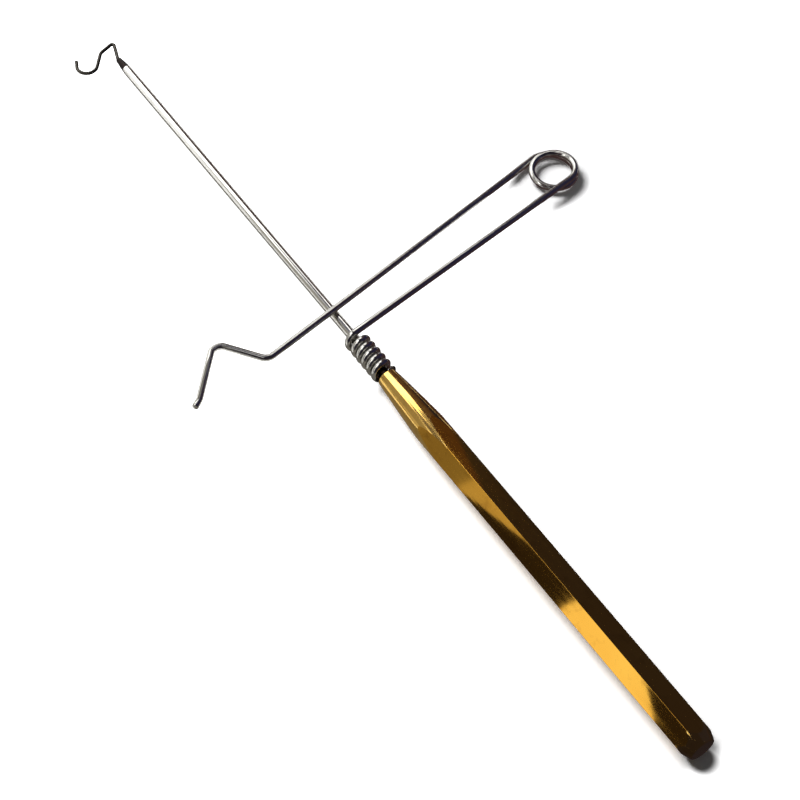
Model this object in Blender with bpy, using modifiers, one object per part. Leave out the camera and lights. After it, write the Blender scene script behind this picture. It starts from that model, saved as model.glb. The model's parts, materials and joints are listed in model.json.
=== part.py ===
"""Whip finish tool: a hexagonal handle, a thin shaft with a tip hook, and a sprung wire arm.

Frame, in metres: the origin is the centre of the handle's butt face, +X runs along the handle
to the tip, the arm's loop lies on the -Y side and +Z is up, with the tool lying on a table.
The tool lies on one long edge of the handle and on the underside of the arm's loop.
"""
import math

import bmesh
import bpy
from mathutils import Vector

OBJECT_NAME = "whip_finish_tool"

# Handle: hexagonal bar with a turned nose and a turned chamfer at the butt
HANDLE_ACROSS_FLATS = 0.0050
HANDLE_LENGTH = 0.0737
HANDLE_ROLL = math.radians(8.3)
NOSE_RADIUS = 0.0016
NOSE_TAPER = 0.075
BUTT_FACE_RADIUS = 0.00195
BUTT_CHAMFER_SLOPE = 0.39

# Shaft: round rod, seated in the handle and coned at the tip
SHAFT_DIAMETER = 0.0016
SHAFT_SEAT_DEPTH = 0.022
SHAFT_REACH = 0.0809
SHAFT_CONE_LENGTH = 0.0030
SHAFT_TIP_RADIUS = 0.00048
HOOK_SEAT_DEPTH = 0.005
SEAT_CLEARANCE = 0.00004

# Tip hook: thin wire, bent flat in the plane of the arm
# Each bend of a wire is a straight run, then a turn to the left in degrees, at a radius
HOOK_WIRE_DIAMETER = 0.0006
HOOK_BENDS = (
    (HOOK_SEAT_DEPTH + 0.0001, -19, 0.0008),
    (0.0031, 127, 0.0004),
    (0.0020, 32, 0.0015),
    (0.0028, -166, 0.00173),
    (0.0014, 0, 0),
)

# Spring arm: one wire, wound on the shaft, looped and led back over the shaft
ARM_WIRE_DIAMETER = 0.0011
WINDING_TURNS = 5.8
WINDING_PITCH = 0.00135
WINDING_CLEARANCE = 0.00005
WINDING_TO_NOSE = 0.00885
WINDING_LEAD = 0.0004
WINDING_LEAD_ANGLE = math.radians(270)
LOOP_CENTRE_FROM_NOSE = 0.0196
LOOP_CENTRE_Y = -0.04645
LOOP_RADIUS = 0.0036
LOOP_WHOLE_TURNS = 1
LOOP_PITCH = 0.00117
LOOP_EXIT_SPREAD = 0.00095
LOOP_EXIT_ANGLE = math.radians(150)
FREE_LEG_HEADING = math.radians(102.1)
FREE_LEG_SHAFT_GAP = 0.0002
GUIDE_START_Y = 0.0125
GUIDE_BENDS = (
    (0.0004, -65, 0.0016),
    (0.0058, 101, 0.0016),
    (0.0086, -14, 0.0030),
    (0.0012, 0, 0),
)

# Wire nodes of the arm stop this far apart where the one wire is divided
SPLIT_GAP = 0.00005

ROUND_STEPS = 48
WINDING_POINTS_PER_TURN = 20
LOOP_POINTS_PER_TURN = 32
BEND_STEP = math.radians(15)
MERGE_DISTANCE = 0.000001

# Sizes worked out from the ones above
HANDLE_CORNER_RADIUS = HANDLE_ACROSS_FLATS / math.sqrt(3)
TABLE_Z = -HANDLE_CORNER_RADIUS * math.cos(math.radians(30) - HANDLE_ROLL)
SHAFT_RADIUS = SHAFT_DIAMETER / 2
SHAFT_TIP_X = HANDLE_LENGTH + SHAFT_REACH
HOOK_WIRE_RADIUS = HOOK_WIRE_DIAMETER / 2
ARM_WIRE_RADIUS = ARM_WIRE_DIAMETER / 2
WINDING_RADIUS = SHAFT_RADIUS + WINDING_CLEARANCE + ARM_WIRE_RADIUS
WINDING_END_X = HANDLE_LENGTH + WINDING_TO_NOSE
LOOP_CENTRE = Vector((HANDLE_LENGTH + LOOP_CENTRE_FROM_NOSE, LOOP_CENTRE_Y, 0))


def clear_scene():
    """Remove every object that the scene starts with."""
    for existing in list(bpy.data.objects):
        bpy.data.objects.remove(existing, do_unlink=True)


def new_collection(name):
    """Add a collection to the scene."""
    collection = bpy.data.collections.new(name)
    bpy.context.scene.collection.children.link(collection)
    return collection


def metal(name, colour, roughness):
    """Make a metal with one colour and one roughness."""
    material = bpy.data.materials.new(name)
    material.use_nodes = True
    shader = material.node_tree.nodes["Principled BSDF"]
    shader.inputs["Base Color"].default_value = (*colour, 1)
    shader.inputs["Metallic"].default_value = 1
    shader.inputs["Roughness"].default_value = roughness
    return material


def turned(name, profile, collection):
    """Turn a profile of (radius, x) points, tip to butt, about the handle's axis."""
    mesh = bpy.data.meshes.new(name)
    shape = bmesh.new()
    points = [shape.verts.new((radius, 0, along)) for radius, along in profile]
    for first, second in zip(points, points[1:]):
        shape.edges.new((first, second))
    shape.to_mesh(mesh)
    shape.free()
    body = bpy.data.objects.new(name, mesh)
    body.rotation_euler = (0, math.radians(90), 0)
    collection.objects.link(body)
    screw = body.modifiers.new("turn", "SCREW")
    screw.steps = ROUND_STEPS
    screw.render_steps = ROUND_STEPS
    screw.use_merge_vertices = True
    screw.merge_threshold = MERGE_DISTANCE
    screw.use_smooth_shade = True
    return body


def wire(name, points, diameter, collection, pivot=None):
    """Run a round wire with flat cut ends along the points, placed on a pivot where it has one."""
    base = pivot.location if pivot else Vector((0, 0, 0))
    curve = bpy.data.curves.new(name, "CURVE")
    curve.dimensions = "3D"
    curve.bevel_depth = diameter / 2
    curve.bevel_resolution = 2
    curve.use_fill_caps = True
    spline = curve.splines.new("POLY")
    spline.points.add(len(points) - 1)
    for spline_point, point in zip(spline.points, points):
        spline_point.co = (*(point - base), 1)
    body = bpy.data.objects.new(name, curve)
    body.parent = pivot
    collection.objects.link(body)
    return body


def bent_path(start, heading, bends):
    """Follow straight runs and bends from a start point, all in its level plane."""
    points = [start.copy()]
    for run, turn_degrees, radius in bends:
        ahead = Vector((math.cos(heading), math.sin(heading), 0))
        points.append(points[-1] + ahead * run)
        turn = math.radians(turn_degrees)
        count = math.ceil(abs(turn) / BEND_STEP)
        for _ in range(count):
            part = turn / count
            heading += part / 2
            chord = 2 * radius * math.sin(abs(part) / 2)
            points.append(points[-1] + Vector((math.cos(heading), math.sin(heading), 0)) * chord)
            heading += part / 2
    return points


def smooth_step(share):
    """Ease from 0 to 1 with level ends."""
    share = min(max(share, 0), 1)
    return share * share * (3 - 2 * share)


def build_handle(parts, cutters):
    """Hexagonal bar, turned to a taper at the nose and a chamfer at the butt, bored for the shaft."""
    bpy.ops.mesh.primitive_cylinder_add(
        vertices=6,
        radius=HANDLE_CORNER_RADIUS,
        depth=HANDLE_LENGTH + 2 * NOSE_RADIUS,
        location=(HANDLE_LENGTH / 2, 0, 0),
        rotation=(0, math.radians(90), 0),
    )
    handle = bpy.context.object
    handle.name = "handle"
    handle.rotation_euler.rotate_axis("Z", HANDLE_ROLL)
    for holder in handle.users_collection:
        holder.objects.unlink(handle)
    parts.objects.link(handle)

    bore_radius = SHAFT_RADIUS + SEAT_CLEARANCE
    bore_end = HANDLE_LENGTH - SHAFT_SEAT_DEPTH
    outer_radius = HANDLE_CORNER_RADIUS + NOSE_RADIUS / 10
    taper_start = HANDLE_LENGTH - (outer_radius - NOSE_RADIUS) / NOSE_TAPER
    chamfer_end = (outer_radius - BUTT_FACE_RADIUS) / BUTT_CHAMFER_SLOPE
    profile = [
        (0, bore_end),
        (bore_radius, bore_end),
        (bore_radius, HANDLE_LENGTH),
        (NOSE_RADIUS, HANDLE_LENGTH),
        (outer_radius, taper_start),
        (outer_radius, chamfer_end),
        (BUTT_FACE_RADIUS, 0),
        (0, 0),
    ]
    envelope = turned("handle_turning", profile, cutters)
    envelope.hide_render = True
    envelope.display_type = "WIRE"
    cut = handle.modifiers.new("turned ends and bore", "BOOLEAN")
    cut.operation = "INTERSECT"
    cut.solver = "EXACT"
    cut.object = envelope
    handle.data.materials.append(metal("handle_brass", (0.75, 0.50, 0.16), 0.12))


def build_shaft(parts):
    """Round rod from its seat in the handle to a coned tip with a small hole for the hook wire."""
    hole_radius = HOOK_WIRE_RADIUS + SEAT_CLEARANCE
    hole_end = SHAFT_TIP_X - HOOK_SEAT_DEPTH
    profile = [
        (0, hole_end),
        (hole_radius, hole_end),
        (hole_radius, SHAFT_TIP_X),
        (SHAFT_TIP_RADIUS, SHAFT_TIP_X),
        (SHAFT_RADIUS, SHAFT_TIP_X - SHAFT_CONE_LENGTH),
        (SHAFT_RADIUS, HANDLE_LENGTH - SHAFT_SEAT_DEPTH + SEAT_CLEARANCE),
        (0, HANDLE_LENGTH - SHAFT_SEAT_DEPTH + SEAT_CLEARANCE),
    ]
    shaft = turned("shaft", profile, parts)
    shaft.data.materials.append(metal("shaft_bright_steel", (0.62, 0.62, 0.60), 0.15))


def build_tip_hook(parts):
    """Thin wire that leaves the shaft, turns back at a sharp peak and ends in an open hook."""
    start = Vector((SHAFT_TIP_X - HOOK_SEAT_DEPTH + SEAT_CLEARANCE, 0, 0))
    points = bent_path(start, 0, HOOK_BENDS)
    hook = wire("tip_hook", points, HOOK_WIRE_DIAMETER, parts)
    hook.data.materials.append(metal("tip_hook_steel", (0.50, 0.49, 0.46), 0.25))


def winding_point(angle):
    """Point of the winding at an angle about the shaft, where 90 degrees is its last top."""
    left = math.pi / 2 - angle
    lead = WINDING_LEAD * (1 - smooth_step(1 - left / WINDING_LEAD_ANGLE))
    along = WINDING_END_X - lead - WINDING_PITCH * left / (2 * math.pi)
    return Vector((along, WINDING_RADIUS * math.cos(angle), WINDING_RADIUS * math.sin(angle)))


def build_winding(parts):
    """Open coil of the arm's wire on the shaft, in front of the handle's nose."""
    count = round(WINDING_TURNS * WINDING_POINTS_PER_TURN)
    sweep = WINDING_TURNS * 2 * math.pi
    points = [winding_point(math.pi / 2 - sweep * (1 - i / count)) for i in range(count + 1)]
    winding = wire("arm_winding", points, ARM_WIRE_DIAMETER, parts)
    winding.data.materials.append(metal("arm_winding_steel", (0.48, 0.48, 0.46), 0.2))


def free_leg_direction():
    """Level direction of the free leg, from the loop to the guide."""
    return Vector((math.cos(FREE_LEG_HEADING), math.sin(FREE_LEG_HEADING), 0))


def loop_angles():
    """Start and end angle of the loop, where its two legs leave it."""
    run = LOOP_CENTRE - Vector((WINDING_END_X, 0, 0))
    lean = math.atan2(run.y, run.x) - math.asin(LOOP_RADIUS / run.length)
    start = lean - math.pi / 2
    end = FREE_LEG_HEADING - math.pi / 2
    while end < start:
        end += 2 * math.pi
    return start, end + LOOP_WHOLE_TURNS * 2 * math.pi


def loop_level(angle, end, rise):
    """Height of the loop's wire over its lowest point, falling turn by turn and rising into the free leg."""
    fall = LOOP_PITCH / (2 * math.pi)
    lift = rise * (LOOP_RADIUS + LOOP_EXIT_SPREAD)
    ease = LOOP_EXIT_ANGLE / 2
    bend = (fall + lift) / ease
    lowest = end - ease + fall / bend
    if angle < end - ease:
        return fall * fall / (2 * bend) + fall * (end - ease - angle)
    return bend * (angle - lowest) ** 2 / 2


def loop_point(angle, end, rise):
    """Point of the loop's wire, on a circle that opens out towards the free leg."""
    share = 1 - (end - angle) / LOOP_EXIT_ANGLE
    radius = LOOP_RADIUS + LOOP_EXIT_SPREAD * smooth_step(share)
    level = TABLE_Z + ARM_WIRE_RADIUS + loop_level(angle, end, rise)
    return LOOP_CENTRE + Vector((radius * math.cos(angle), radius * math.sin(angle), level))


def free_leg_rise():
    """Rise of the free leg for each metre of its level run, so that it clears the shaft."""
    _, end = loop_angles()
    crossing_z = SHAFT_RADIUS + FREE_LEG_SHAFT_GAP + ARM_WIRE_RADIUS
    rise = 0
    for _ in range(6):
        exit_point = loop_point(end, end, rise)
        run = -exit_point.y / math.sin(FREE_LEG_HEADING)
        rise = (crossing_z - exit_point.z) / run
    return rise


def build_loop(parts):
    """Spring loop of the arm, wound down from the fixed leg to the free leg on the table."""
    start, end = loop_angles()
    rise = free_leg_rise()
    count = round((end - start) / (2 * math.pi) * LOOP_POINTS_PER_TURN)
    points = [loop_point(start + (end - start) * i / count, end, rise) for i in range(count + 1)]
    loop = wire("arm_loop", points, ARM_WIRE_DIAMETER, parts)
    loop.data.materials.append(metal("arm_loop_steel", (0.48, 0.48, 0.46), 0.2))
    return points[0]


def build_fixed_leg(parts, loop_start):
    """Straight run of the arm from the winding's last top to the start of the loop."""
    winding_end = winding_point(math.pi / 2)
    gap = (loop_start - winding_end).normalized() * SPLIT_GAP
    leg = wire("arm_fixed_leg", [winding_end + gap, loop_start - gap], ARM_WIRE_DIAMETER, parts)
    leg.data.materials.append(metal("arm_fixed_leg_steel", (0.48, 0.48, 0.46), 0.2))


def sloped(points, base, rise):
    """Lift the points of a level path by the free leg's rise along its direction."""
    ahead = free_leg_direction()
    return [point + Vector((0, 0, rise * (point - base).dot(ahead))) for point in points]


def build_free_half(parts):
    """Free leg back over the shaft, and the zigzag thread guide at its end, on the loop's axis."""
    pivot = bpy.data.objects.new("arm_pivot", None)
    pivot.location = LOOP_CENTRE
    parts.objects.link(pivot)

    _, end = loop_angles()
    rise = free_leg_rise()
    exit_point = loop_point(end, end, rise)
    ahead = free_leg_direction()
    run = (GUIDE_START_Y - exit_point.y) / ahead.y
    guide_start = exit_point + ahead * run
    leg_points = [exit_point + ahead * SPLIT_GAP, guide_start - ahead * SPLIT_GAP]
    leg = wire("arm_free_leg", sloped(leg_points, exit_point, rise), ARM_WIRE_DIAMETER, parts, pivot)
    leg.data.materials.append(metal("arm_free_leg_steel", (0.48, 0.48, 0.46), 0.2))

    guide_points = bent_path(guide_start, FREE_LEG_HEADING, GUIDE_BENDS)
    guide_points = sloped(guide_points, exit_point, rise)
    guide = wire("arm_guide_hook", guide_points, ARM_WIRE_DIAMETER, parts, pivot)
    guide.data.materials.append(metal("arm_guide_hook_steel", (0.48, 0.48, 0.46), 0.2))


def main():
    """Build the tool piece by piece."""
    clear_scene()
    parts = new_collection(OBJECT_NAME)
    cutters = new_collection("cutters")
    build_handle(parts, cutters)
    build_shaft(parts)
    build_tip_hook(parts)
    build_winding(parts)
    loop_start = build_loop(parts)
    build_fixed_leg(parts, loop_start)
    build_free_half(parts)


main()
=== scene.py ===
"""Looks of a whip finish tool: brass handle, bright shaft, tip hook and one sprung wire arm.

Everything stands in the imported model's frame, in metres: the origin is the centre of the handle's butt
face, +X runs along the handle to the tip, the arm's loop lies on the -Y side and +Z is up from the table.
"""
import json
import logging
import math
from collections.abc import Callable
from dataclasses import dataclass, field
from enum import Enum

import bmesh
import bpy
from mathutils import Matrix, Vector


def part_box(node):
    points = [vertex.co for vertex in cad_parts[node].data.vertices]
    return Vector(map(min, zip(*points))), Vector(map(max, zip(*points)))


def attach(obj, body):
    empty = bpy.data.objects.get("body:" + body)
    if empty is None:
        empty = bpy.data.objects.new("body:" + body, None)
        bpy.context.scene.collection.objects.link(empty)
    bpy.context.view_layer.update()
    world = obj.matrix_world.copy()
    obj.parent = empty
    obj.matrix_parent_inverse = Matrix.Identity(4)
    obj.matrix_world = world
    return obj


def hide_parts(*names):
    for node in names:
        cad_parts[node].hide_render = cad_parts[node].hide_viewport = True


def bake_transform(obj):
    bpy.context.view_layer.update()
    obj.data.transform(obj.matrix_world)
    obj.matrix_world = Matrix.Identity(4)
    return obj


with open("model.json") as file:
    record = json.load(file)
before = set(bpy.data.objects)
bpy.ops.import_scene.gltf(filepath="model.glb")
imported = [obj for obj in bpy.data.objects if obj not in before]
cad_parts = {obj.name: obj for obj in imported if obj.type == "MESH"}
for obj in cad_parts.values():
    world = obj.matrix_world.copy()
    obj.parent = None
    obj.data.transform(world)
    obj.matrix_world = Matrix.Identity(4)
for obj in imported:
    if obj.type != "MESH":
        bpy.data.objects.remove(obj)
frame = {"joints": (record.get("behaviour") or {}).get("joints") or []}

LOG = logging.getLogger("whip_finish_tool")
MM = 0.001
UP = Vector((0, 0, 1))

# Sides of a wire's round section, and the turn of one step along a bend
WIRE_SIDES = 32
BEND_STEP = 5.0

# Reach and depth, in radii, within which the points of a wire's end ring and of a coil's last ring are found
END_RING = (1.05, 0.2)
COIL_RING = (1.02, 0.05)

# Steps across a rounded rim or edge, and the angles up to which wires and turned pieces are shaded smooth
RIM_STEPS = 4
WIRE_SMOOTH = 40
TURNED_SMOOTH = 30

# Slack for finding points by their place, and the distance at which points are merged
SLACK = 0.01 * MM
MERGE = 0.0005 * MM

# Turn that lays a primitive's Z axis along X
ALONG_X = (0, math.radians(90), 0)

# Height over the table of a mat, a level card seen only in reflections
MAT_HEIGHT = 0.1 * MM

# Blender's wave texture repeats every 2 pi / 20 of its scaled coordinate
WAVE_PERIOD = math.tau / 20

# Range of the noise that shows as stains, and that turns fine lines from bright to dull
STAIN_RANGE = (0.54, 0.74)
LINE_RANGE = (0.3, 0.7)


class Body(Enum):
    """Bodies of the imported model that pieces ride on."""

    TOOL = "tool_body"
    FREE_ARM = "free_arm"


class Slot(Enum):
    """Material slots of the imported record."""

    HANDLE = "handle_brass"
    SHAFT = "shaft_steel"
    HOOK = "hook_steel"
    ARM = "arm_steel"


def linear(hex_colour: str) -> tuple[float, float, float, float]:
    """Turn an sRGB hex colour into linear red, green, blue and alpha.

    Args:
        hex_colour: Colour such as "#E0B050".

    Returns:
        The linear colour that a shader socket takes.
    """
    channels = [int(hex_colour[i:i + 2], 16) / 255 for i in (1, 3, 5)]
    curve = [c / 12.92 if c <= 0.04045 else ((c + 0.055) / 1.055) ** 2.4 for c in channels]
    return (*curve, 1.0)


def add(
    tree: bpy.types.NodeTree, kind: str, inputs: dict | None = None, **settings: object,
) -> bpy.types.Node:
    """Add a shader node, give it its settings and set or link its inputs.

    Args:
        tree: Node tree that takes the node.
        kind: Blender's name for the kind of node.
        inputs: A constant or an output socket for each input, by the input's name or number.
        settings: Properties of the node itself.

    Returns:
        The new node.
    """
    made = tree.nodes.new(kind)
    for key, value in settings.items():
        setattr(made, key, value)
    for key, value in (inputs or {}).items():
        socket = made.inputs[key]
        if isinstance(value, bpy.types.NodeSocket):
            tree.links.new(value, socket)
        else:
            socket.default_value = value
    return made


def new_material(name: str) -> tuple[bpy.types.Material, bpy.types.NodeTree, bpy.types.Node]:
    """Start a material with an empty node tree and its output.

    Args:
        name: Name of the real material.

    Returns:
        The material, its node tree and its output node.
    """
    material = bpy.data.materials.new(name)
    material.use_nodes = True
    tree = material.node_tree
    tree.nodes.clear()
    return material, tree, tree.nodes.new("ShaderNodeOutputMaterial")


@dataclass(frozen=True)
class MetalFinish:
    """Metal with cloudy colour, small stains and fine lines left by the way it was made."""

    name: str
    light: str
    deep: str
    stain: str
    roughness: float
    rough_spread: float
    cloud_mm: float
    stain_mm: float
    stain_share: float
    line_mm: tuple[float, float, float]
    line_depth_mm: float
    ring_mm: float = 0.0
    ring_depth_mm: float = 0.0

    def make(self) -> bpy.types.Material:
        """Build the metal's nodes, once for all pieces that share the finish.

        Returns:
            The finished material.
        """
        if self.name in bpy.data.materials:
            return bpy.data.materials[self.name]
        material, tree, output = new_material(self.name)
        place = add(tree, "ShaderNodeTexCoord").outputs["Object"]
        cloud = add(tree, "ShaderNodeTexNoise", {
            "Vector": place, "Scale": 1 / (self.cloud_mm * MM), "Detail": 3.0, "Roughness": 0.55,
        })
        colour = add(tree, "ShaderNodeMix", {
            0: cloud.outputs["Fac"], 6: linear(self.deep), 7: linear(self.light),
        }, data_type="RGBA")
        specks = add(tree, "ShaderNodeTexNoise", {
            "Vector": place, "Scale": 1 / (self.stain_mm * MM), "Detail": 4.0, "Roughness": 0.6,
        })
        stained = add(tree, "ShaderNodeMapRange", {
            "Value": specks.outputs["Fac"], "From Min": STAIN_RANGE[0], "From Max": STAIN_RANGE[1],
            "To Max": self.stain_share,
        })
        tint = add(tree, "ShaderNodeMix", {
            0: stained.outputs["Result"], 6: colour.outputs[2], 7: linear(self.stain),
        }, data_type="RGBA")
        stretch = add(tree, "ShaderNodeMapping", {
            "Vector": place, "Scale": tuple(1 / (size * MM) for size in self.line_mm),
        })
        lines = add(tree, "ShaderNodeTexNoise", {
            "Vector": stretch.outputs["Vector"], "Scale": 1.0, "Detail": 2.0,
        })
        dullness = add(tree, "ShaderNodeMapRange", {
            "Value": lines.outputs["Fac"], "From Min": LINE_RANGE[0], "From Max": LINE_RANGE[1],
            "To Min": self.roughness - self.rough_spread, "To Max": self.roughness + self.rough_spread,
        })
        surface = add(tree, "ShaderNodeBump", {
            "Height": lines.outputs["Fac"], "Strength": 1.0, "Distance": self.line_depth_mm * MM,
        })
        if self.ring_mm:
            rings = add(tree, "ShaderNodeTexWave", {
                "Vector": place, "Scale": WAVE_PERIOD / (self.ring_mm * MM),
                "Distortion": 0.6, "Detail": 1.0,
            }, bands_direction="X")
            surface = add(tree, "ShaderNodeBump", {
                "Height": rings.outputs["Fac"], "Strength": 1.0, "Distance": self.ring_depth_mm * MM,
                "Normal": surface.outputs["Normal"],
            })
        shader = add(tree, "ShaderNodeBsdfPrincipled", {
            "Base Color": tint.outputs[2], "Metallic": 1.0, "Roughness": dullness.outputs["Result"],
            "Normal": surface.outputs["Normal"],
        })
        tree.links.new(shader.outputs["BSDF"], output.inputs["Surface"])
        return material


# Drawn brass bar, polished: warm gold that mirrors its surroundings, with faint lines along the bar,
# which are drawn coarser than real so that they show
DRAWN_BRASS = MetalFinish(
    name="drawn_polished_brass", light="#F7BF4E", deep="#E6A63C", stain="#9A6427",
    roughness=0.06, rough_spread=0.015, cloud_mm=9.0, stain_mm=2.2, stain_share=0.35,
    line_mm=(40.0, 0.7, 0.7), line_depth_mm=0.0006,
)
# Turned brass at the nose and butt: the same gold with fine tool rings, drawn coarser than real to show
TURNED_BRASS = MetalFinish(
    name="turned_brass", light="#F6CF78", deep="#E6B458", stain="#9A6427",
    roughness=0.09, rough_spread=0.02, cloud_mm=6.0, stain_mm=2.2, stain_share=0.25,
    line_mm=(3.0, 0.6, 0.6), line_depth_mm=0.0004, ring_mm=0.3, ring_depth_mm=0.0003,
)
# Bright drawn steel rod: near mirror, with faint lines along the rod and a little grey bloom
BRIGHT_ROD = MetalFinish(
    name="bright_drawn_steel", light="#E2E1DC", deep="#CFCDC6", stain="#8F8B80",
    roughness=0.11, rough_spread=0.04, cloud_mm=12.0, stain_mm=3.0, stain_share=0.3,
    line_mm=(25.0, 0.12, 0.12), line_depth_mm=0.002,
)
# Dark steel drawn on the rod's joint by the nose, on the winding's end beside it and on the tip's cone where
# the hook wire goes in
DARKENED_STEEL = MetalFinish(
    name="darkened_steel", light="#2B2321", deep="#1C1716", stain="#120F0E",
    roughness=0.3, rough_spread=0.06, cloud_mm=2.0, stain_mm=0.8, stain_share=0.5,
    line_mm=(0.4, 0.4, 0.4), line_depth_mm=0.002,
)
# Hard drawn spring wire: bright but less clean than the rod, with patches of dull die marks
SPRING_WIRE = MetalFinish(
    name="hard_drawn_spring_wire", light="#D2D0CA", deep="#B4B2AC", stain="#6A665F",
    roughness=0.14, rough_spread=0.04, cloud_mm=6.0, stain_mm=1.6, stain_share=0.35,
    line_mm=(0.5, 0.5, 0.5), line_depth_mm=0.002,
)
# Thin hook wire: a much darker steel than the spring wire
HOOK_WIRE = MetalFinish(
    name="bent_hook_wire", light="#4F4C47", deep="#383530", stain="#211F1C",
    roughness=0.26, rough_spread=0.06, cloud_mm=3.0, stain_mm=1.0, stain_share=0.5,
    line_mm=(0.4, 0.4, 0.4), line_depth_mm=0.002,
)


def pick(piece: bpy.types.Object, kind: str, test: Callable[[object], bool]) -> None:
    """Select elements of a piece in edit mode by a rule.

    Args:
        piece: Piece that is in edit mode.
        kind: "verts", "edges" or "faces".
        test: Rule that says whether an element is selected.
    """
    mode = {"verts": "VERT", "edges": "EDGE", "faces": "FACE"}[kind]
    bpy.ops.mesh.select_mode(type=mode)
    bpy.ops.mesh.select_all(action="DESELECT")
    shape = bmesh.from_edit_mesh(piece.data)
    for element in getattr(shape, kind):
        if test(element):
            element.select_set(True)
    shape.select_flush_mode()
    bmesh.update_edit_mesh(piece.data)


def begin(name: str) -> bpy.types.Object:
    """Name the primitive just added, put its place into its mesh and open it in edit mode.

    Args:
        name: Name of the piece.

    Returns:
        The piece.
    """
    piece = bpy.context.object
    piece.name = name
    piece.data.name = name
    bpy.ops.object.transform_apply(location=True, rotation=True, scale=True)
    bpy.ops.object.mode_set(mode="EDIT")
    bpy.ops.mesh.select_all(action="SELECT")
    return piece


def close(piece: bpy.types.Object, smooth_degrees: float) -> None:
    """Turn all faces outwards, leave edit mode and smooth the shading.

    Args:
        piece: Piece that is in edit mode.
        smooth_degrees: Edges sharper than this stay sharp.
    """
    bpy.ops.mesh.select_all(action="SELECT")
    bpy.ops.mesh.remove_doubles(threshold=MERGE)
    bpy.ops.mesh.normals_make_consistent(inside=False)
    bpy.ops.object.mode_set(mode="OBJECT")
    bpy.ops.object.shade_smooth_by_angle(angle=math.radians(smooth_degrees))


def deselect_all() -> None:
    """Leave no object selected, so that an operator acts on the new piece alone."""
    bpy.ops.object.select_all(action="DESELECT")


def off_axis(place: Vector) -> float:
    """Distance of a place from the tool's axis."""
    return math.hypot(place.y, place.z)


def round_rim(
    piece: bpy.types.Object, along: float, radius: float, rounding: float, steps: int = RIM_STEPS,
) -> None:
    """Round a turned rim.

    Args:
        piece: Piece that is in edit mode.
        along: Place of the rim on the tool's axis.
        radius: Radius of the rim.
        rounding: Width of the rounding.
        steps: Number of steps across it.
    """
    pick(piece, "edges", lambda edge: all(
        abs(vert.co.x - along) < SLACK and abs(off_axis(vert.co) - radius) < SLACK for vert in edge.verts
    ))
    bpy.ops.mesh.bevel(offset=rounding, segments=steps, affect="EDGES")


def second_finish(piece: bpy.types.Object, test: Callable[[object], bool]) -> None:
    """Give the faces that a rule picks the second finish of their piece.

    Args:
        piece: Active piece, in edit mode.
        test: Rule that says whether a face is picked.
    """
    pick(piece, "faces", test)
    piece.active_material_index = 1
    bpy.ops.object.material_slot_assign()


def fit(piece: bpy.types.Object, body: Body, slot: Slot, *nodes: str) -> None:
    """Put a finished piece on its body in place of its CAD nodes.

    Args:
        piece: Finished piece, in place.
        body: Body that carries it.
        slot: Material slot that its finish belongs to; not used.
        nodes: CAD nodes that it stands for.
    """
    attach(piece, body.value)
    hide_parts(*nodes)
    faces = len(piece.data.polygons)
    LOG.info("%s rides on %s for %s, %d faces", piece.name, body.value, ", ".join(nodes), faces)


@dataclass(frozen=True)
class Bend:
    """One step of a bent wire: a straight run, then a turn to the left in degrees at a radius."""

    run: float
    turn: float
    radius: float


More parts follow.
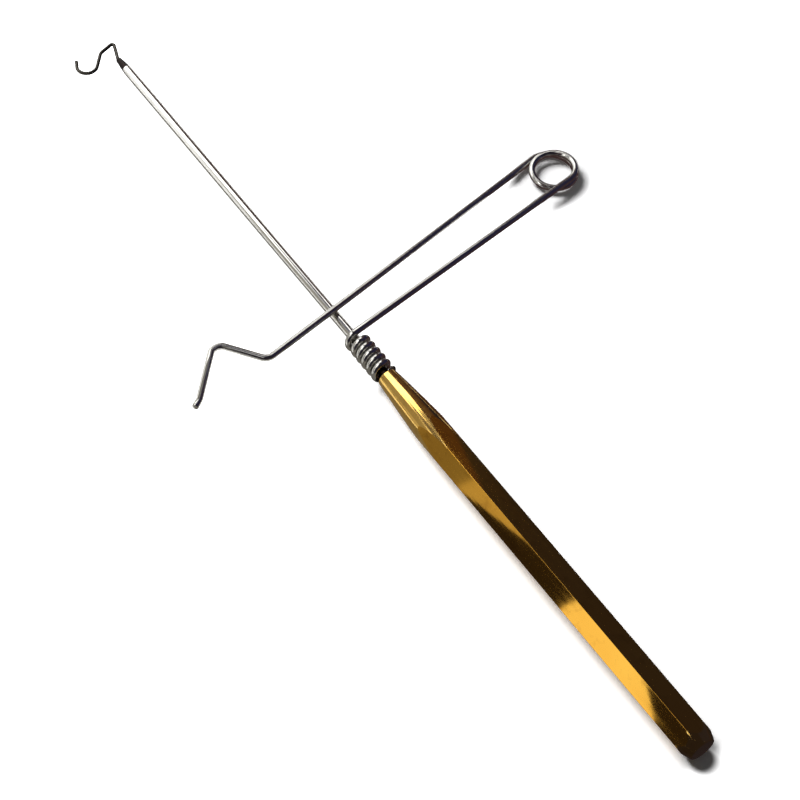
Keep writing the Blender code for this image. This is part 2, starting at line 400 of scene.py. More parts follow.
class Wire:
    """One round wire, drawn and bent as on a bench jig: its open end is extruded, spun and cut."""

    def __init__(self, name: str, diameter: float, start: Vector, heading: Vector, up: Vector = UP) -> None:
        """Lay the first ring of the wire.

        Args:
            name: Name of the piece.
            diameter: Diameter of the wire.
            start: Centre of the first ring.
            heading: Direction of the wire at its start.
            up: Axis that bends turn about.
        """
        self.radius = diameter / 2
        self.start = start.copy()
        self.start_heading = heading.normalized()
        self.place = start.copy()
        self.heading = heading.normalized()
        self.up = up.normalized()
        deselect_all()
        turn = self.heading.to_track_quat("Z", "Y").to_euler()
        bpy.ops.mesh.primitive_circle_add(
            vertices=WIRE_SIDES, radius=self.radius, location=start, rotation=turn,
        )
        self.piece = begin(name)

    def run(self, length: float, steps: int = 1) -> None:
        """Extrude the open end straight on.

        Args:
            length: Length of the straight run.
            steps: Number of equal stretches along it.
        """
        for _ in range(steps):
            stretch = self.heading * (length / steps)
            bpy.ops.mesh.extrude_region_move(TRANSFORM_OT_translate={"value": stretch})
            self.place += stretch

    def swing(self, angle: float, centre: Vector, axis: Vector, steps: int) -> None:
        """Spin the open end about an axis, by the right-hand rule.

        Args:
            angle: Angle of the whole swing.
            centre: Point on the axis.
            axis: Direction of the axis.
            steps: Number of equal steps.
        """
        bpy.ops.mesh.spin(steps=steps, angle=-angle, center=centre, axis=axis)
        turn = Matrix.Rotation(angle, 3, axis)
        self.place = centre + turn @ (self.place - centre)
        self.heading = turn @ self.heading

    def shift(self, offset: Vector) -> None:
        """Move the open end as it is."""
        bpy.ops.transform.translate(value=offset)
        self.place += offset

    def bend(self, bends: tuple[Bend, ...]) -> None:
        """Follow straight runs and bends in one plane.

        Args:
            bends: Steps of the bent wire, in order.
        """
        for step in bends:
            self.run(step.run)
            if step.turn:
                side = self.up.cross(self.heading) * math.copysign(step.radius, step.turn)
                count = math.ceil(abs(step.turn) / BEND_STEP)
                self.swing(math.radians(step.turn), self.place + side, self.up, count)

    def ring(self, centre: Vector, heading: Vector, reach: float, depth: float) -> Callable[[object], bool]:
        """Make the rule that finds the points of one ring of the wire.

        Args:
            centre: Centre of the ring.
            heading: Direction of the wire there.
            reach: How far from the centre the points may be, in radii.
            depth: How far along the wire the points may be, in radii.

        Returns:
            The rule.
        """
        def holds(vert: bmesh.types.BMVert) -> bool:
            """Whether a point lies on the ring."""
            offset = vert.co - centre
            return offset.length < self.radius * reach and abs(offset.dot(heading)) < self.radius * depth
        return holds

    def cut(self, first_round: float, last_round: float) -> bpy.types.Object:
        """Close both ends with faces whose rims are rounded as a cut wire's are.

        Args:
            first_round: Rounding of the first end's rim, or 0 where it meets another stretch.
            last_round: Rounding of the last end's rim, or 0 where it meets another stretch.

        Returns:
            The finished piece.
        """
        ends = ((self.place, self.heading, last_round), (self.start, self.start_heading, first_round))
        for centre, heading, rim in ends:
            pick(self.piece, "verts", self.ring(centre, heading, *END_RING))
            bpy.ops.mesh.edge_face_add()
            if rim:
                bpy.ops.mesh.bevel(offset=rim, segments=RIM_STEPS, affect="EDGES")
        close(self.piece, WIRE_SMOOTH)
        return self.piece


@dataclass
class Handle:
    """Hexagonal brass bar with a turned nose and butt, bored for the shaft."""

    across_flats: float = 5.0 * MM
    roll: float = math.radians(8.3)
    crown: float = 0.02 * MM
    crown_strips: int = 6
    edge_round: float = 0.018 * MM
    nose_radius: float = 1.6 * MM
    nose_length: float = 18.0 * MM
    nose_slope: float = 0.1
    nose_steps: int = 12
    nose_round: float = 0.15 * MM
    butt_radius: float = 1.95 * MM
    butt_length: float = 2.8 * MM
    butt_bulge: float = 0.07 * MM
    butt_steps: int = 4
    butt_round: float = 0.12 * MM
    bore_radius: float = 0.84 * MM
    bore_zone: float = 1.5 * MM
    flat_tilt: float = 0.01
    run_out: float = 0.05 * MM
    turning_steps: int = 96
    rim_steps: int = 3
    length: float = field(init=False)
    bore_depth: float = field(init=False)

    def __post_init__(self) -> None:
        """Take the length and the bore from the frame."""
        self.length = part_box("handle")[1].x
        self.bore_depth = self.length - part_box("shaft")[0].x

    @property
    def corner_radius(self) -> float:
        """Radius of the hexagon's corners."""
        return self.across_flats / math.sqrt(3)

    def bar(self) -> bpy.types.Object:
        """Model the bar: a six-sided prism with slightly crowned flats and its long edges rounded.

        Returns:
            The bar, longer than the handle at both ends.
        """
        spare = 2 * MM
        deselect_all()
        bpy.ops.mesh.primitive_cylinder_add(
            vertices=6, radius=self.corner_radius, depth=self.length + 2 * spare,
            location=(self.length / 2, 0, 0), rotation=ALONG_X,
        )
        bpy.context.object.rotation_euler.rotate_axis("Z", self.roll)
        bar = begin("handle_bar")
        pick(bar, "edges", lambda edge: abs(edge.verts[0].co.x - edge.verts[1].co.x) < spare)
        bpy.ops.mesh.subdivide(number_cuts=self.crown_strips - 1)
        half_side = self.corner_radius / 2
        for strip in range(self.crown_strips // 2):
            offset = 2 * strip / self.crown_strips
            reach = math.hypot(self.across_flats / 2, offset * half_side)
            swell = 1 + self.crown * (1 - offset * offset) / reach
            pick(bar, "verts", lambda vert: abs(off_axis(vert.co) - reach) < SLACK)
            bpy.ops.transform.resize(value=(1, swell, swell), center_override=(0, 0, 0))
        pick(bar, "edges", lambda edge: (
            abs(edge.verts[0].co.x - edge.verts[1].co.x) > spare
            and off_axis(edge.verts[0].co) > self.corner_radius - SLACK
        ))
        bpy.ops.mesh.bevel(offset=self.edge_round, segments=RIM_STEPS, affect="EDGES")
        bpy.ops.object.mode_set(mode="OBJECT")
        return bar

    def taper(self, share: float, end: float, steep: float) -> float:
        """Give the radius of a convex taper, a share of the way from its end to the bar."""
        outer = self.corner_radius + self.run_out
        return end + steep * share + (outer - end - steep) * share * share

    def turning(self) -> bpy.types.Object:
        """Model what the lathe leaves: butt face and taper, straight length, convex nose and bore.

        Returns:
            The turned solid that the bar is cut to.
        """
        rings = []
        steep = self.corner_radius + self.run_out - self.butt_radius + 4 * self.butt_bulge
        for step in range(self.butt_steps):
            share = (step + 1) / self.butt_steps
            rings.append((share * self.butt_length, self.taper(share, self.butt_radius, steep)))
        steep = self.nose_slope * self.nose_length
        for step in range(self.nose_steps + 1):
            share = 1 - step / self.nose_steps
            rings.append((self.length - share * self.nose_length, self.taper(share, self.nose_radius, steep)))
        deselect_all()
        bpy.ops.mesh.primitive_circle_add(
            vertices=self.turning_steps, radius=self.butt_radius, fill_type="NGON", rotation=ALONG_X,
        )
        solid = begin("handle_turning")
        along, radius = 0.0, self.butt_radius
        for ring_along, ring_radius in rings:
            bpy.ops.mesh.extrude_region_move(TRANSFORM_OT_translate={"value": (ring_along - along, 0, 0)})
            share = ring_radius / radius
            bpy.ops.transform.resize(value=(1, share, share), center_override=(ring_along, 0, 0))
            along, radius = ring_along, ring_radius
        bpy.ops.mesh.inset(thickness=self.nose_radius - self.bore_radius)
        bpy.ops.mesh.extrude_region_move(TRANSFORM_OT_translate={"value": (-self.bore_depth, 0, 0)})
        close(solid, TURNED_SMOOTH)
        return solid

    def is_flat(self, face: bmesh.types.BMFace) -> bool:
        """Whether a face belongs to the bar's flats and rounded edges, not to its turned ends or bore."""
        return abs(face.normal.x) < self.flat_tilt and off_axis(face.calc_center_median()) > self.bore_zone

    def build(self) -> bpy.types.Object:
        """Cut the bar to the turning and round its rims.

        Returns:
            The handle.
        """
        bar = self.bar()
        solid = self.turning()
        deselect_all()
        bar.select_set(True)
        bpy.context.view_layer.objects.active = bar
        cut = bar.modifiers.new("turned ends", "BOOLEAN")
        cut.operation = "INTERSECT"
        cut.solver = "EXACT"
        cut.object = solid
        bpy.ops.object.modifier_apply(modifier=cut.name)
        bpy.data.objects.remove(solid, do_unlink=True)
        bpy.ops.object.mode_set(mode="EDIT")
        bpy.ops.mesh.select_all(action="SELECT")
        bpy.ops.mesh.remove_doubles(threshold=2 * MERGE)
        round_rim(bar, self.length, self.nose_radius, self.nose_round, self.rim_steps)
        round_rim(bar, 0.0, self.butt_radius, self.butt_round, self.rim_steps)
        close(bar, TURNED_SMOOTH)
        return bar

    def dress(self, bar: bpy.types.Object) -> None:
        """Give the flats drawn brass and the turned ends turned brass, with a crisp line between them.

        Args:
            bar: Finished handle.
        """
        bar.data.materials.clear()
        for finish in (DRAWN_BRASS, TURNED_BRASS):
            bar.data.materials.append(finish.make())
        bpy.ops.object.mode_set(mode="EDIT")
        second_finish(bar, lambda face: not self.is_flat(face))
        pick(bar, "edges", lambda edge: len({face.material_index for face in edge.link_faces}) > 1)
        bpy.ops.mesh.mark_sharp()
        bpy.ops.object.mode_set(mode="OBJECT")
        even = bar.modifiers.new("even shading", "WEIGHTED_NORMAL")
        even.keep_sharp = True
        bpy.ops.object.modifier_apply(modifier=even.name)
        fit(bar, Body.TOOL, Slot.HANDLE, "handle")


@dataclass
class Shaft:
    """Bright rod from its seat in the handle to a coned tip with a hole for the hook wire."""

    diameter: float = 1.6 * MM
    cone_length: float = 3.0 * MM
    cone_round: float = 0.5 * MM
    tip_radius: float = 0.48 * MM
    tip_round: float = 0.05 * MM
    hole_radius: float = 0.34 * MM
    hole_depth: float = 5.0 * MM
    joint_length: float = 1.3 * MM
    sides: int = 64
    end_facing: float = 0.9
    seat: float = field(init=False)
    tip: float = field(init=False)
    nose: float = field(init=False)

    def __post_init__(self) -> None:
        """Take the rod's ends and the handle's nose from the frame."""
        low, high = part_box("shaft")
        self.seat = low.x
        self.tip = high.x
        self.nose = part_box("handle")[1].x

    def build(self) -> bpy.types.Object:
        """Model the rod: a cylinder whose end face is drawn to a cone, inset and sunk.

        Returns:
            The shaft.
        """
        straight = self.tip - self.cone_length - self.seat
        deselect_all()
        bpy.ops.mesh.primitive_cylinder_add(
            vertices=self.sides, radius=self.diameter / 2, depth=straight,
            location=(self.seat + straight / 2, 0, 0), rotation=ALONG_X,
        )
        rod = begin("shaft_rod")
        bpy.ops.mesh.bisect(plane_co=(self.nose + self.joint_length, 0, 0), plane_no=(1, 0, 0))
        pick(rod, "faces", lambda face: face.normal.x > self.end_facing)
        bpy.ops.mesh.extrude_region_move(TRANSFORM_OT_translate={"value": (self.cone_length, 0, 0)})
        share = self.tip_radius / (self.diameter / 2)
        bpy.ops.transform.resize(value=(1, share, share), center_override=(self.tip, 0, 0))
        bpy.ops.mesh.inset(thickness=self.tip_radius - self.hole_radius)
        bpy.ops.mesh.extrude_region_move(TRANSFORM_OT_translate={"value": (-self.hole_depth, 0, 0)})
        round_rim(rod, self.tip - self.cone_length, self.diameter / 2, self.cone_round)
        round_rim(rod, self.tip, self.tip_radius, self.tip_round)
        close(rod, TURNED_SMOOTH)
        return rod

    def dress(self, rod: bpy.types.Object) -> None:
        """Give the rod its bright drawn steel, and its cone and its joint by the nose a dark steel.

        Args:
            rod: Finished shaft.
        """
        for finish in (BRIGHT_ROD, DARKENED_STEEL):
            rod.data.materials.append(finish.make())
        bpy.ops.object.mode_set(mode="EDIT")
        cone = self.tip - self.cone_length + self.cone_round / 2
        joint = self.nose + self.joint_length
        second_finish(rod, lambda face: not joint < face.calc_center_median().x < cone)
        bpy.ops.object.mode_set(mode="OBJECT")
        fit(rod, Body.TOOL, Slot.SHAFT, "shaft")


@dataclass
class TipHook:
    """Thin wire out of the shaft's tip, bent to a sharp peak and a small open hook."""

    diameter: float = 0.6 * MM
    cut_round: float = 0.14 * MM
    bends: tuple[Bend, ...] = (
        Bend(5.1 * MM, -19, 0.8 * MM),
        Bend(3.098 * MM, 127, 0.4 * MM),
        Bend(2.0 * MM, 32, 1.5 * MM),
        Bend(2.8 * MM, -166, 1.73 * MM),
        Bend(1.4 * MM, 0, 0),
    )

    def build(self) -> bpy.types.Object:
        """Bend the hook in the level plane of the shaft's axis.

        Returns:
            The hook.
        """
        start = Vector((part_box("tip_hook")[0].x, 0, 0))
        wire = Wire("tip_hook_wire", self.diameter, start, Vector((1, 0, 0)))
        wire.bend(self.bends)
        return wire.cut(self.cut_round, self.cut_round)

    def dress(self, hook: bpy.types.Object) -> None:
        """Give the hook its dark wire."""
        hook.data.materials.append(HOOK_WIRE.make())
        fit(hook, Body.TOOL, Slot.HOOK, "tip_hook")


@dataclass
class SpringArm:
    """One spring wire: wound on the shaft, led out to a loop and back over the shaft to a thread guide."""

    diameter: float = 1.1 * MM
    winding_turns: float = 5.8
    winding_pitch: float = 1.35 * MM
    winding_radius: float = 1.4 * MM
    winding_steps: int = 48
    winding_lead: float = 0.4 * MM
    winding_lead_angle: float = math.radians(270)
    loop_radius: float = 3.55 * MM
    loop_turns: int = 1
    loop_pitch: float = 1.17 * MM
    loop_steps: int = 64
    exit_spread: float = 0.95 * MM
    exit_angle: float = math.radians(150)
    free_heading: float = math.radians(102.1)
    crossing_height: float = 1.55 * MM
    rise_rounds: int = 6
    leg_steps: tuple[int, int] = (12, 14)
    guide_start_y: float = 12.5 * MM
    guide_bends: tuple[Bend, ...] = (
        Bend(0.4 * MM, -65, 1.6 * MM),
        Bend(5.8 * MM, 101, 1.6 * MM),
        Bend(8.6 * MM, -14, 3.0 * MM),
        Bend(1.2 * MM, 0, 0),
    )
    cut_round: float = 0.15 * MM
    joint_length: float = 0.7 * MM
    winding_end: Vector = field(init=False)
    loop_centre: Vector = field(init=False)
    loop_start: float = field(init=False)
    loop_end: float = field(init=False)
    free_rise: float = field(init=False)
    table: float = field(init=False)

    def __post_init__(self) -> None:
        """Take places from the frame, and find where the legs leave the loop and how the free leg rises."""
        end_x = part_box("arm_winding")[1].x - self.diameter / 2
        self.winding_end = Vector((end_x, 0, self.winding_radius))
        self.loop_centre = Vector(frame["joints"][0]["pos_m"])
        self.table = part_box("handle")[0].z
        run = self.loop_centre - self.winding_end
        run.z = 0
        self.loop_start = math.atan2(run.y, run.x) - math.asin(self.loop_radius / run.length) - math.pi / 2
        self.loop_end = self.free_heading - math.pi / 2 + self.loop_turns * math.tau
        # The rise lifts the end of the loop too, so it is found in rounds
        self.free_rise = 0.0
        for _ in range(self.rise_rounds):
            leave = self.loop_point(self.loop_end)
            self.free_rise = (self.crossing_height - leave.z) / (-leave.y / self.free_ahead.y)

    @property
    def free_ahead(self) -> Vector:
        """Level direction of the free leg, from the loop to the guide."""
        return Vector((math.cos(self.free_heading), math.sin(self.free_heading), 0))

    def loop_level(self, angle: float) -> float:
        """Find the height of the loop's wire over its lowest point.

        Args:
            angle: Angle along the loop.

        Returns:
            The height, falling turn by turn and rising into the free leg.
        """
        fall = self.loop_pitch / math.tau
        ease = self.exit_angle / 2
        lift = (fall + self.free_rise * (self.loop_radius + self.exit_spread)) / ease
        eased = self.loop_end - ease
        if angle < eased:
            return fall * fall / (2 * lift) + fall * (eased - angle)
        return lift * (angle - (eased + fall / lift)) ** 2 / 2

    def loop_point(self, angle: float) -> Vector:
        """Find a point of the loop's wire, on a circle that opens out towards the free leg.

        Args:
            angle: Angle along the loop.

        Returns:
            The point.
        """
        share = min(max(1 - (self.loop_end - angle) / self.exit_angle, 0), 1)
        radius = self.loop_radius + self.exit_spread * share * share * (3 - 2 * share)
        x = self.loop_centre.x + radius * math.cos(angle)
        y = self.loop_centre.y + radius * math.sin(angle)
        return Vector((x, y, self.table + self.diameter / 2 + self.loop_level(angle)))

    def build_fixed(self) -> bpy.types.Object:
        """Wind the coil on the shaft and lead the fixed leg out to the loop.

        Returns:
            The fixed stretch of the wire.
        """
        sweep = self.winding_turns * math.tau
        first = math.pi / 2 - sweep
        x = self.winding_end.x - self.winding_lead - self.winding_turns * self.winding_pitch
        y, z = self.winding_radius * math.cos(first), self.winding_radius * math.sin(first)
        climb = self.winding_pitch / math.tau
        wire = Wire("arm_fixed_wire", self.diameter, Vector((x, y, z)), Vector((climb, -z, y)))
        bpy.ops.object.mode_set(mode="OBJECT")
        coil = wire.piece.modifiers.new("winding", "SCREW")
        coil.axis = "X"
        coil.angle = sweep
        coil.screw_offset = self.winding_turns * self.winding_pitch
        coil.steps = round(self.winding_turns * self.winding_steps)
        coil.render_steps = coil.steps
        bpy.ops.object.modifier_apply(modifier=coil.name)
        bpy.ops.object.mode_set(mode="EDIT")

        target = self.loop_point(self.loop_start)
        last = self.winding_end - Vector((self.winding_lead, 0, 0))
        level_heading = Vector((climb, -self.winding_radius, 0)).normalized()
        pick(wire.piece, "verts", wire.ring(last, level_heading, *COIL_RING))
        bpy.ops.transform.translate(
            value=self.winding_end - last, use_proportional_edit=True, use_proportional_connected=True,
            proportional_edit_falloff="SMOOTH",
            proportional_size=self.winding_radius * self.winding_lead_angle,
        )
        wire.place = self.winding_end.copy()
        wire.heading = (target - wire.place).normalized()
        wire.run((target - wire.place).length, self.leg_steps[0])
        return wire.cut(self.cut_round, 0)

    def build_loop(self) -> bpy.types.Object:
        """Wind the loop, easing it open and up where the free leg leaves.

        Returns:
            The loop.
        """
        start, sweep = self.loop_start, self.loop_end - self.loop_start
        count = round(sweep / math.tau * self.loop_steps)
        points = [self.loop_point(start + sweep * i / count) for i in range(count + 1)]
        fall = self.loop_pitch / math.tau / self.loop_radius
        heading = Vector((-math.sin(start), math.cos(start), -fall))
        wire = Wire("arm_loop_wire", self.diameter, points[0], heading)
        for point in points[1:]:
            wire.swing(sweep / count, self.loop_centre, UP, 1)
            wire.shift(point - wire.place)
        wire.heading = (self.free_ahead + UP * self.free_rise).normalized()
        return wire.cut(0, 0)

    def build_free(self) -> bpy.types.Object:
        """Lead the free leg back over the shaft and bend the zigzag thread guide at its end.

        Returns:
            The free stretch of the wire.
        """
        leave = self.loop_point(self.loop_end)
        heading = (self.free_ahead + UP * self.free_rise).normalized()
        up = heading.cross(UP.cross(self.free_ahead)).normalized()
        wire = Wire("arm_free_wire", self.diameter, leave, heading, up)
        wire.run((self.guide_start_y - leave.y) / heading.y, self.leg_steps[1])
        wire.bend(self.guide_bends)
        return wire.cut(0, self.cut_round)

    def dress(self, fixed: bpy.types.Object, loop: bpy.types.Object, free: bpy.types.Object) -> None:
        """Give all stretches the same spring wire and put them on their bodies.

        Args:
            fixed: Winding and fixed leg.
            loop: Loop, which winds up between the two bodies.
            free: Free leg and guide.
        """
        steel = SPRING_WIRE.make()
        for stretch in (fixed, loop, free):
            stretch.data.materials.append(steel)
        # The winding's end by the nose is drawn in the same dark steel as the rod's joint beside it
        fixed.data.materials.append(DARKENED_STEEL.make())
        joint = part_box("arm_winding")[0].x + self.joint_length
        deselect_all()
        bpy.context.view_layer.objects.active = fixed
        bpy.ops.object.mode_set(mode="EDIT")
        second_finish(fixed, lambda face: face.calc_center_median().x < joint)
        bpy.ops.object.mode_set(mode="OBJECT")
        fit(fixed, Body.TOOL, Slot.ARM, "arm_winding", "arm_fixed_leg")
        fit(free, Body.FREE_ARM, Slot.ARM, "arm_free_leg", "arm_guide_hook")
        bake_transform(loop)
        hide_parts("arm_loop")
        LOG.info("%s winds up between %s and %s", loop.name, Body.TOOL.value, Body.FREE_ARM.value)


class Shade(Enum):
    """Brightness of a studio card as polished metal shows it."""

    BLACK = "#2A2630"
    DUSK = "#2E2C44"
    WARM = "#4E3C3C"
    GREY = "#6E6C78"
    MIDDLE = "#87847E"
    PALE = "#C4C0B8"
    WHITE = "#FFFFFF"


@dataclass(frozen=True)
class Card:
    """Four-cornered card, seen in reflections alone, that gives metal its dark and bright parts."""

    name: str
    shade: Shade
    corners: tuple[tuple[float, float, float], ...]
    glow: float = 1.0

    def place(self, level: float) -> None:
        """Pull a square out to the card's corners.

        Args:
            level: Height of the table, from which the corners are measured.
        """
        half = 10
        deselect_all()
        bpy.ops.mesh.primitive_plane_add(size=2 * half)
        card = begin(self.name)
        squares = ((-half, -half, 0), (half, -half, 0), (half, half, 0), (-half, half, 0))
        for square, corner in zip(squares, self.corners):
            pick(card, "verts", lambda vert: (vert.co - Vector(square)).length < MM)
            bpy.ops.transform.translate(value=Vector(corner) + UP * level - Vector(square))
        bpy.ops.object.mode_set(mode="OBJECT")
        card.data.materials.append(self.paper())
        card.visible_camera = False
        card.visible_diffuse = False
        card.visible_shadow = False

    def paper(self) -> bpy.types.Material:
        """Give the card one even brightness.

        Returns:
            The card's material.
        """
        material, tree, output = new_material(self.name + "_paper")
        even = add(tree, "ShaderNodeEmission", {"Color": linear(self.shade.value), "Strength": self.glow})
        tree.links.new(even.outputs[0], output.inputs["Surface"])
        return material


def upright(x: tuple[float, float], y: float, z: tuple[float, float], lean: float = 0.0) -> tuple:
    """Give the corners of a card that stands along X, with a lean that shifts its far upper corner."""
    return (x[0], y, z[0]), (x[1], y, z[0]), (x[1] + lean, y, z[1]), (x[0], y, z[1])


def across(x: float, y: tuple[float, float], z: tuple[float, float]) -> tuple:
    """Give the corners of a card that stands across X."""
    return (x, y[0], z[0]), (x, y[1], z[0]), (x, y[1], z[1]), (x, y[0], z[1])


def lying(x: tuple[float, float], y: tuple[float, float], z: float) -> tuple:
    """Give the corners of a level card or mat at a height over the table."""
    return (x[0], y[0], z), (x[1], y[0], z), (x[1], y[1], z), (x[0], y[1], z)


def cut_out(z: float, *plan: tuple[float, float]) -> tuple:
    """Give the corners of a level card at a height over the table, cut to a plan."""
    return tuple((x, y, z) for x, y in plan)


def seen_ray(tree: bpy.types.NodeTree, mirrored: float = 1.0) -> bpy.types.NodeSocket:
    """Tell the rays that show a surface, directly or in metal or glass, from those that only light others.

    Args:
        tree: Node tree of the floor or the room.
        mirrored: Value for a ray that shows the surface in metal or glass.

    Returns:
        Socket that is 1 for a ray that shows the surface directly.
    """
    ray = add(tree, "ShaderNodeLightPath").outputs
    either = add(tree, "ShaderNodeMath", {
        0: ray["Is Glossy Ray"], 1: ray["Is Transmission Ray"],
    }, operation="MAXIMUM")
    share = add(tree, "ShaderNodeMath", {0: either.outputs[0], 1: mirrored}, operation="MULTIPLY")
    shown = add(tree, "ShaderNodeMath", {0: ray["Is Camera Ray"], 1: share.outputs[0]}, operation="MAXIMUM")
    return shown.outputs[0]


@dataclass
class Studio:
    """White table, one large soft light, cards for the metal to mirror, and the camera of the photograph."""

    floor_size: float = 12.0
    floor_white: str = "#F4F4F4"
    floor_glow: float = 0.95
    mirrored_glow: float = 0.2
    handle_glow: float = 0.2
    butt_glow: float = 0.0
    loop_glow: float = 0.03
    handle_end_reach: tuple[float, float] = (-0.5 * MM, 2 * MM)
    handle_side_reach: tuple[float, float] = (8 * MM, 14 * MM)
    butt_reach: tuple[float, float] = (1.5 * MM, 2.9 * MM)
    loop_reach: tuple[float, float] = (5.6 * MM, 8.2 * MM)
    sky_light: float = 0.06
    room_white: float = 1.3
    lamp_aim: Vector = field(default_factory=lambda: Vector((0.08, -0.01, 0)))
    lamp_direction: Vector = field(default_factory=lambda: Vector((0.60, 0.17, 0.78)))
    lamp_distance: float = 1.0
    lamp_width: float = 0.54
    lamp_power: float = 14.0
    camera_place: Vector = field(default_factory=lambda: Vector((-64.47, 93.16, 231.93)) * MM)
    camera_heading: float = math.radians(-34.656)
    camera_pitch: float = math.radians(55)
    lens_mm: float = 85.5
    sensor_mm: float = 36.0
    near_clip: float = 0.01
    cards: tuple[Card, ...] = (
        Card("right_card", Shade.DUSK, upright((-0.40, 0.244), -0.25, (0.0, 0.65))),
        Card("nose_side_card", Shade.WARM, upright((0.244, 0.262), -0.25, (0.0, 0.45))),
        Card("far_right_card", Shade.WARM, upright((0.262, 0.55), -0.25, (0.0, 0.36))),
        Card("near_card", Shade.BLACK, across(-0.35, (-0.65, 0.40), (0.0, 1.2))),
        Card("left_card", Shade.BLACK, upright((-0.60, 0.06), 0.40, (0.11, 0.80))),
        Card("ceiling_card", Shade.BLACK, lying((-0.40, 0.0), (-0.50, 0.40), 1.2)),
        Card("far_ceiling_card", Shade.BLACK, lying((0.0, 0.60), (-0.50, 0.10), 1.2)),
        Card("butt_card", Shade.BLACK, upright((-0.20, 0.034), 0.12, (0.0, 0.040), 0.019)),
        Card("middle_card", Shade.BLACK, upright((0.0708, 0.1193), 0.12, (0.0, 0.040), -0.043)),
        Card("grip_card", Shade.PALE, upright((0.078, 0.107), 0.121, (0.0, 0.040))),
        Card("nose_card", Shade.MIDDLE, upright((0.107, 0.125), 0.121, (0.0, 0.045))),
        Card("nose_end_card", Shade.PALE, upright((0.125, 0.200), 0.121, (0.0, 0.045))),
        Card("bar_card", Shade.WHITE, upright((0.0, 0.078), 0.121, (0.0, 0.040)), 1.15),
        Card("window_card", Shade.WHITE, across(0.85, (-0.45, 0.50), (0.50, 1.085)), 3.0),
        Card("side_window_card", Shade.WHITE, across(0.85, (-1.00, -0.45), (0.50, 1.35)), 3.0),
        Card("sky_card", Shade.GREY, across(0.86, (-0.45, 1.00), (1.04, 1.45))),
        Card("guide_side_card", Shade.WARM, upright((0.42, 0.60), -0.25, (0.36, 0.50))),
        Card("winding_card", Shade.WHITE, lying((0.100, 0.120), (0.008, 0.090), 0.100), 5.0),
        Card("nose_sky_card", Shade.GREY, lying((0.121, 0.1435), (0.026, 0.075), 0.100)),
        Card("nose_right_card", Shade.WARM, cut_out(
            0.0327, (0.079, -0.035), (0.102, -0.040), (0.100, -0.0217), (0.079, -0.001),
        )),
        Card("guide_card", Shade.MIDDLE, lying((0.098, 0.170), (0.0245, 0.125), 0.045), 1.5),
        Card("nose_left_card", Shade.MIDDLE, lying((0.170, 0.200), (0.090, 0.125), 0.045), 1.5),
        Card("guide_run_card", Shade.GREY, cut_out(
            0.0102, (0.0863, 0.0120), (0.0924, 0.0169), (0.0902, 0.0197), (0.0842, 0.0148),
        )),
        Card("guide_end_card", Shade.MIDDLE, cut_out(
            0.0104, (0.0914, 0.0179), (0.0955, 0.0222), (0.0891, 0.0282), (0.0850, 0.0240),
        )),
        Card("shaft_card", Shade.BLACK, lying((0.112, 0.138), (-0.010, 0.004), 0.045)),
        # Level mats, seen only in reflections, stand in for the table near the tool as the metal mirrors it
        Card("left_mat", Shade.MIDDLE, lying((-0.35, 0.078), (0.0, 0.12), MAT_HEIGHT)),
        Card("right_mat", Shade.WARM, lying((-0.35, 0.088), (-0.25, 0.0), MAT_HEIGHT)),
        Card("shaft_mat", Shade.MIDDLE, lying((0.078, 0.50), (-0.008, 0.008), MAT_HEIGHT)),
        # Painted shade: the shaded table under the loop, in reflections only
        Card("loop_shade_mat", Shade.WARM, lying((0.083, 0.104), (-0.058, -0.036), MAT_HEIGHT)),
        Card("guide_mat", Shade.MIDDLE, lying((0.068, 0.083), (0.029, 0.042), MAT_HEIGHT)),
        # Painted shade: the shaded table by the butt, in reflections only
        Card("butt_shade_mat", Shade.BLACK, lying((-0.35, 0.002), (-0.10, 0.10), 2 * MAT_HEIGHT)),
    )

    def white_table(self, level: float) -> None:
        """Lay a large white table top under the tool.

        Args:
            level: Height of the table.
        """
        deselect_all()
        bpy.ops.mesh.primitive_plane_add(size=self.floor_size, location=(0, 0, level))
        floor = bpy.context.object
        floor.name = "table"
        bpy.ops.object.transform_apply(location=True)
        material, tree, output = new_material("white_paper_sweep")
        # Matt white paper: lit by the lamp, with a glow that takes faint shadows to clean white; the glow is
        # lowered by the handle, its butt and the loop, which paints deeper shade there than the lamp alone
        # gives
        place = add(tree, "ShaderNodeTexCoord").outputs["Object"]
        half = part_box("handle")[1].x / 2
        offset = add(tree, "ShaderNodeVectorMath", {0: place, 1: (half, 0, level)}, operation="SUBTRACT")
        apart = add(tree, "ShaderNodeVectorMath", {0: offset.outputs[0]}, operation="ABSOLUTE")
        spot = add(tree, "ShaderNodeSeparateXYZ", {0: apart.outputs[0]}).outputs
        from_butt, from_loop = (
            add(tree, "ShaderNodeVectorMath", {0: place, 1: (x, y, level)}, operation="DISTANCE")
            for x, y, _ in ((0, 0, 0), frame["joints"][0]["pos_m"])
        )
        end_reach = tuple(half + reach for reach in self.handle_end_reach)
        glow = 0.0
        for away, reach, low, join in (
            (spot["X"], end_reach, self.handle_glow, "MAXIMUM"),
            (spot["Y"], self.handle_side_reach, self.handle_glow, "MAXIMUM"),
            (from_butt.outputs["Value"], self.butt_reach, self.butt_glow, "MINIMUM"),
            (from_loop.outputs["Value"], self.loop_reach, self.loop_glow, "MINIMUM"),
        ):
            rise = add(tree, "ShaderNodeMapRange", {
                "Value": away, "From Min": reach[0], "From Max": reach[1],
                "To Min": low, "To Max": self.floor_glow,
            }, interpolation_type="SMOOTHSTEP").outputs["Result"]
            glow = add(tree, "ShaderNodeMath", {0: glow, 1: rise}, operation=join).outputs[0]
        shown = add(tree, "ShaderNodeMath", {
            0: seen_ray(tree, self.mirrored_glow), 1: glow,
        }, operation="MULTIPLY")
        paper = add(tree, "ShaderNodeBsdfDiffuse", {"Color": linear(self.floor_white)})
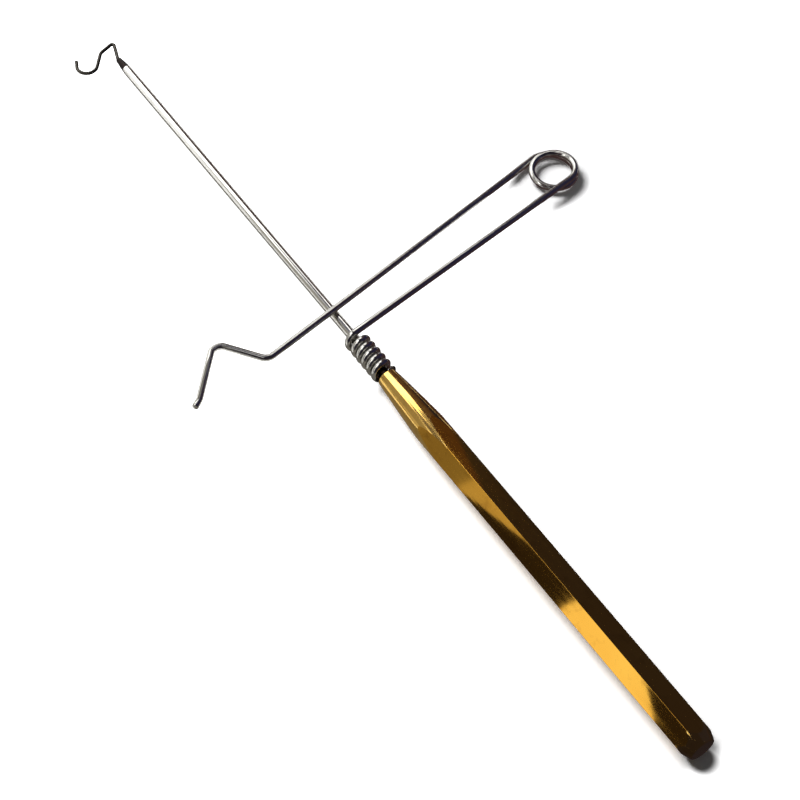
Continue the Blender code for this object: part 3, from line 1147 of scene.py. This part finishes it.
        light = add(tree, "ShaderNodeEmission", {"Color": (1, 1, 1, 1), "Strength": shown.outputs[0]})
        both = add(tree, "ShaderNodeAddShader", {0: paper.outputs[0], 1: light.outputs[0]})
        tree.links.new(both.outputs[0], output.inputs["Surface"])
        floor.data.materials.append(material)

    def white_room(self) -> None:
        """Surround the table with a white room that lights it softly."""
        world = bpy.data.worlds.new("white_room")
        world.use_nodes = True
        tree = world.node_tree
        tree.nodes.clear()
        level = add(tree, "ShaderNodeMapRange", {
            "Value": seen_ray(tree), "To Min": self.sky_light, "To Max": self.room_white,
        })
        room = add(tree, "ShaderNodeBackground", {"Color": (1, 1, 1, 1), "Strength": level.outputs[0]})
        output = add(tree, "ShaderNodeOutputWorld")
        tree.links.new(room.outputs[0], output.inputs["Surface"])
        bpy.context.scene.world = world

    def lamps(self) -> None:
        """Hang one round soft box over the table, a little towards the tool's tip."""
        lamp = bpy.data.lights.new("soft_box", "AREA")
        lamp.shape = "DISK"
        lamp.size = self.lamp_width
        lamp.energy = self.lamp_power
        box = bpy.data.objects.new("soft_box", lamp)
        towards = self.lamp_direction.normalized()
        box.location = self.lamp_aim + towards * self.lamp_distance
        box.visible_glossy = False
        box.rotation_euler = (-towards).to_track_quat("-Z", "Y").to_euler()
        box.visible_camera = False
        bpy.context.scene.collection.objects.link(box)

    def camera(self) -> None:
        """Set the camera where the photograph was taken from."""
        lens = bpy.data.cameras.new("camera")
        lens.lens = self.lens_mm
        lens.sensor_width = self.sensor_mm
        lens.clip_start = self.near_clip
        eye = bpy.data.objects.new("camera", lens)
        level = math.cos(self.camera_pitch)
        ahead, aside = math.cos(self.camera_heading), math.sin(self.camera_heading)
        forward = Vector((ahead * level, aside * level, -math.sin(self.camera_pitch)))
        eye.location = self.camera_place
        eye.rotation_euler = forward.to_track_quat("-Z", "Y").to_euler()
        bpy.context.scene.collection.objects.link(eye)
        bpy.context.scene.camera = eye

    def set_up(self, level: float) -> None:
        """Set up the whole studio.

        Args:
            level: Height of the table.
        """
        self.white_table(level)
        self.white_room()
        self.lamps()
        for card in self.cards:
            card.place(level)
        self.camera()
        bpy.context.scene.view_settings.view_transform = "Standard"
        LOG.info("studio set up at table level %.2f mm", level / MM)


def main() -> None:
    """Build the tool's pieces in order and set up the studio round them."""
    logging.basicConfig(level=logging.INFO, format="%(name)s: %(message)s")
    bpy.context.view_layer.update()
    handle = Handle()
    handle.dress(handle.build())
    shaft = Shaft()
    shaft.dress(shaft.build())
    hook = TipHook()
    hook.dress(hook.build())
    arm = SpringArm()
    arm.dress(arm.build_fixed(), arm.build_loop(), arm.build_free())
    Studio().set_up(arm.table)


if __name__ == "__main__":
    main()
